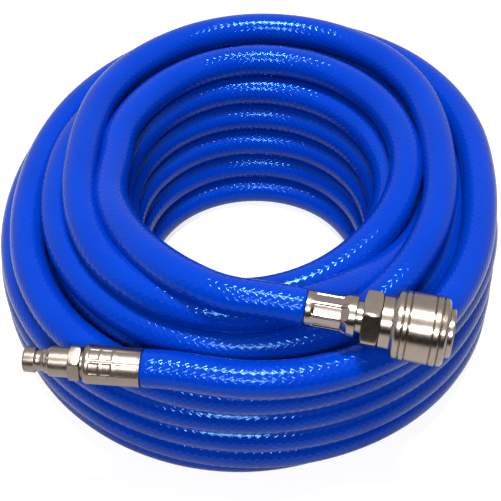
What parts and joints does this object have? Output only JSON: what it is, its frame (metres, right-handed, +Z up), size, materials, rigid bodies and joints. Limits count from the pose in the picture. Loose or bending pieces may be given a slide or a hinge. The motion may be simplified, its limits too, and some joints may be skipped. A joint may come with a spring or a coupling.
{
  "type": "coiled air hose",
  "caption": "Coiled braided compressed-air hose with a quick coupler on one end and its matching plug on the other.",
  "frame": {"origin": "on the floor at the centre of the coil, which is the bottom centre of the whole object", "axes": "+Z up along the coil's axis; +X to the right and +Y away from someone who faces the side where both fittings lie"},
  "size_m": [0.237, 0.2397, 0.1104],
  "materials": {
    "hose_pvc": "glossy blue soft PVC with the braid's imprint",
    "nickel_plate": "bright nickel-plated brass and steel, turned",
    "spring_steel": "drawn spring wire and polished balls",
    "seal_rubber": "matt black nitrile"
  },
  "bodies": {
    "hose": {"hose_coil": "hose_pvc", "hose_plug_end": "hose_pvc", "hose_coupler_end": "hose_pvc", "coupler_body": "nickel_plate", "sleeve_stop_ring": "nickel_plate", "sleeve_spring": "spring_steel", "socket_seal": "seal_rubber", "valve_spring": "spring_steel", "adapter_seal": "seal_rubber", "coupler_adapter": "nickel_plate", "coupler_ferrule": "nickel_plate", "coupler_hose_tail": "hose_pvc", "plug_nipple": "nickel_plate", "plug_ferrule": "nickel_plate", "plug_hose_tail": "hose_pvc"},
    "sleeve": {"locking_sleeve": "nickel_plate"},
    "poppet": {"valve_poppet": "nickel_plate"},
    "ball_1": {"locking_ball_1": "spring_steel"},
    "ball_2": {"locking_ball_2": "spring_steel"},
    "ball_3": {"locking_ball_3": "spring_steel"},
    "ball_4": {"locking_ball_4": "spring_steel"}
  },
  "joints": [
    {"name": "sleeve_slide", "type": "slide", "parent": "hose", "child": "sleeve", "axis": [-0.9755, 0.2198, 0], "range_m": [0, 0.0035], "stiffness_N_per_m": 4000, "springref_m": -0.003, "deforming": ["sleeve_spring"]},
    {"name": "poppet_slide", "type": "slide", "parent": "hose", "child": "poppet", "axis": [-0.9755, 0.2198, 0], "range_m": [0, 0.0037], "stiffness_N_per_m": 1500, "springref_m": -0.004, "deforming": ["valve_spring"]},
    {"name": "ball_slide_1", "type": "slide", "parent": "hose", "child": "ball_1", "axis": [0.1555, 0.6898, 0.7071], "range_m": [0, 0.0011]},
    {"name": "ball_slide_2", "type": "slide", "parent": "hose", "child": "ball_2", "axis": [0.1555, 0.6898, -0.7071], "range_m": [0, 0.0011]},
    {"name": "ball_slide_3", "type": "slide", "parent": "hose", "child": "ball_3", "axis": [-0.1555, -0.6898, -0.7071], "range_m": [0, 0.0011]},
    {"name": "ball_slide_4", "type": "slide", "parent": "hose", "child": "ball_4", "axis": [-0.1555, -0.6898, 0.7071], "range_m": [0, 0.0011]}
  ],
  "couplings": [
    {"joint": "ball_slide_1", "follows": "sleeve_slide", "ratio": 0.314},
    {"joint": "ball_slide_2", "follows": "sleeve_slide", "ratio": 0.314},
    {"joint": "ball_slide_3", "follows": "sleeve_slide", "ratio": 0.314},
    {"joint": "ball_slide_4", "follows": "sleeve_slide", "ratio": 0.314}
  ]
}
